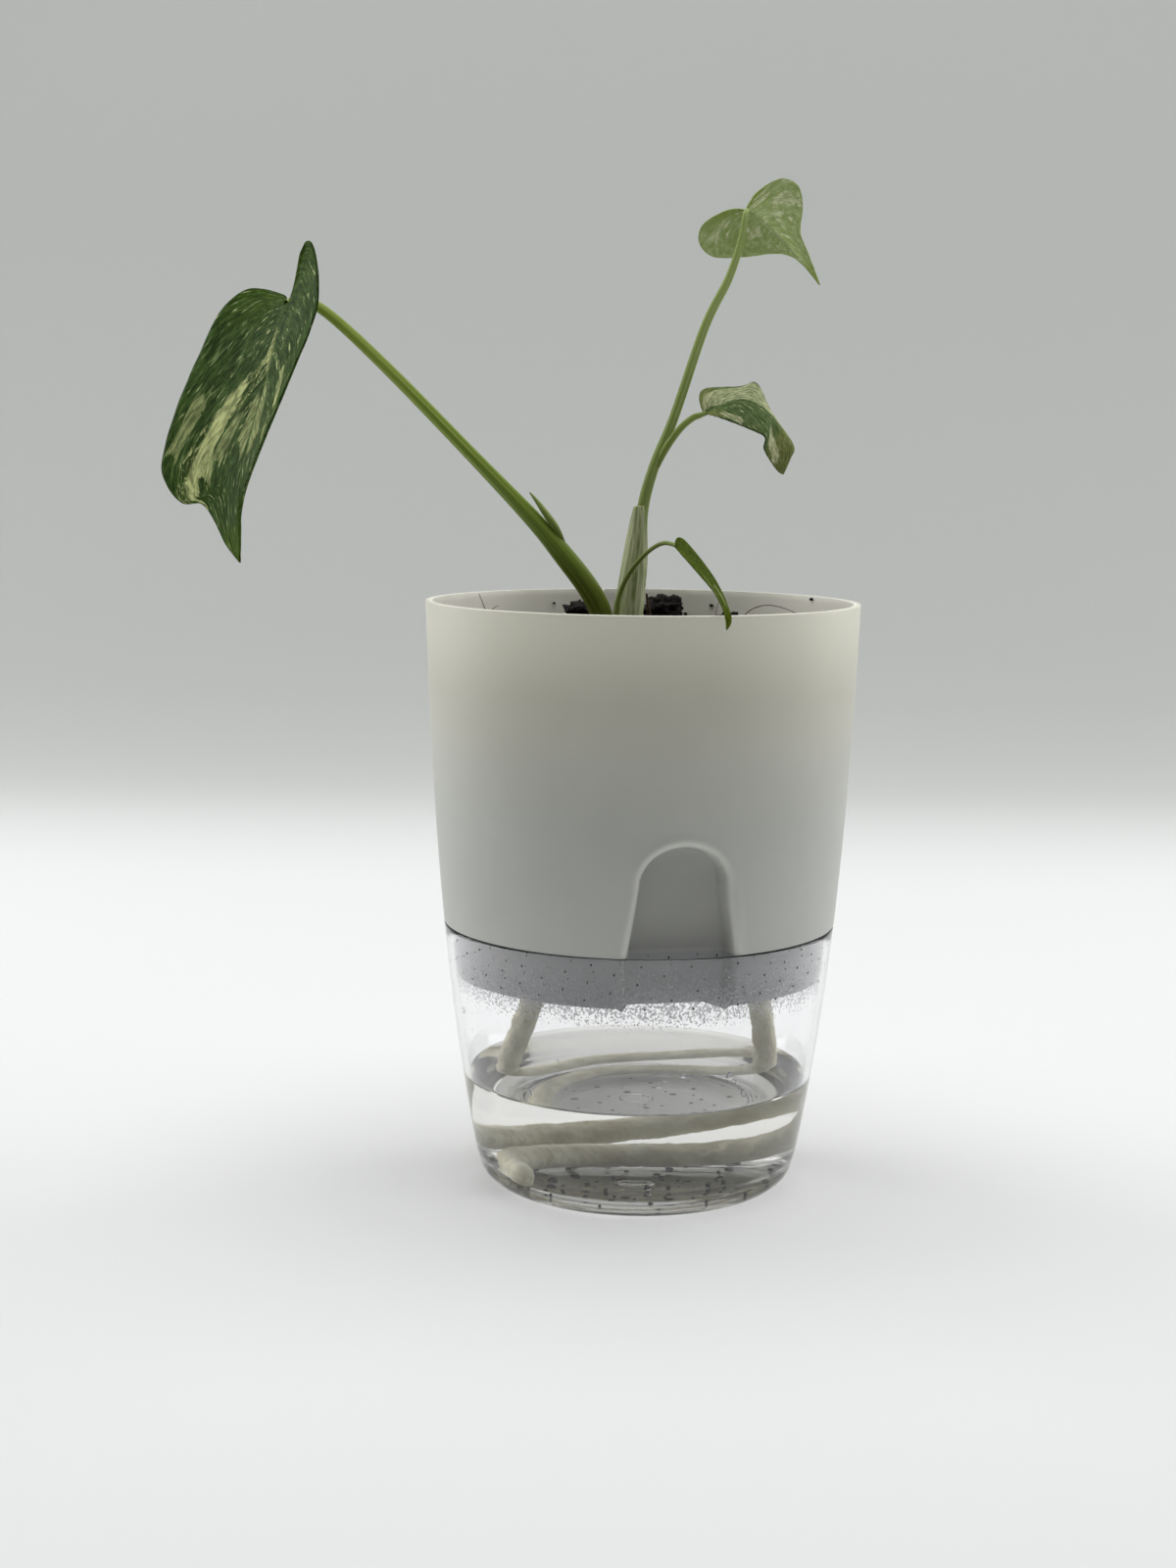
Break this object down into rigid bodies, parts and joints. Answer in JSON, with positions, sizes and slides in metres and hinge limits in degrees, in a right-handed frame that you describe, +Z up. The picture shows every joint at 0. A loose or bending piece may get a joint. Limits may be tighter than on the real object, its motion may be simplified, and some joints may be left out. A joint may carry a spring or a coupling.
{
  "type": "potted variegated monstera",
  "caption": "Young variegated monstera in a tapered white planter hung in a clear water reservoir, with cotton wicks and an arched filling port.",
  "frame": {"origin": "centre of the pot's flat underside", "axes": "+Z up along the pot's axis; the filling port opens towards -Y, turned 12 degrees to +X; the large leaf hangs out at -X"},
  "size_m": [0.1667, 0.1053, 0.2366],
  "materials": {
    "clear_plastic": "clear, faint lavender tint, glossy",
    "water": "clear water",
    "white_plastic": "satin warm white",
    "cotton": "soft fuzzy rope",
    "potting_mix": "damp dark clods",
    "root_skin": "matte",
    "stem": "satin green",
    "blade": "satin dark green with cream variegation",
    "pale_blade": "satin light green with cream variegation",
    "sheath": "pale, dry satin",
    "dry_sheath": "dry, papery"
  },
  "bodies": {
    "reservoir": {"reservoir_cup": "clear_plastic", "reservoir_water": "water"},
    "planter": {"planter": "white_plastic", "wick_left": "cotton", "wick_right": "cotton", "soil_upper": "potting_mix", "soil_behind_port": "potting_mix", "soil_left_of_port": "potting_mix", "soil_right_of_port": "potting_mix", "stem_crown": "stem", "root_front": "root_skin", "root_back": "root_skin", "root_left": "root_skin", "root_right": "root_skin", "soil_clod_middle": "potting_mix", "soil_clod_left": "potting_mix", "soil_clod_back": "potting_mix", "soil_clod_right": "potting_mix", "bark_chip": "potting_mix", "petiole_large": "stem", "petiole_tall": "stem", "petiole_middle": "stem", "petiole_small": "stem", "leaf_large": "blade", "leaf_heart": "pale_blade", "leaf_middle": "blade", "leaf_small": "blade", "cataphyll": "sheath", "ligule": "stem", "dry_sheath_strip": "dry_sheath"}
  },
  "joints": [
    {"name": "planter_lift", "type": "slide", "parent": "reservoir", "child": "planter", "axis": [0, 0, 1], "range_m": [0, 0.075], "deforming": ["reservoir_water"]}
  ]
}
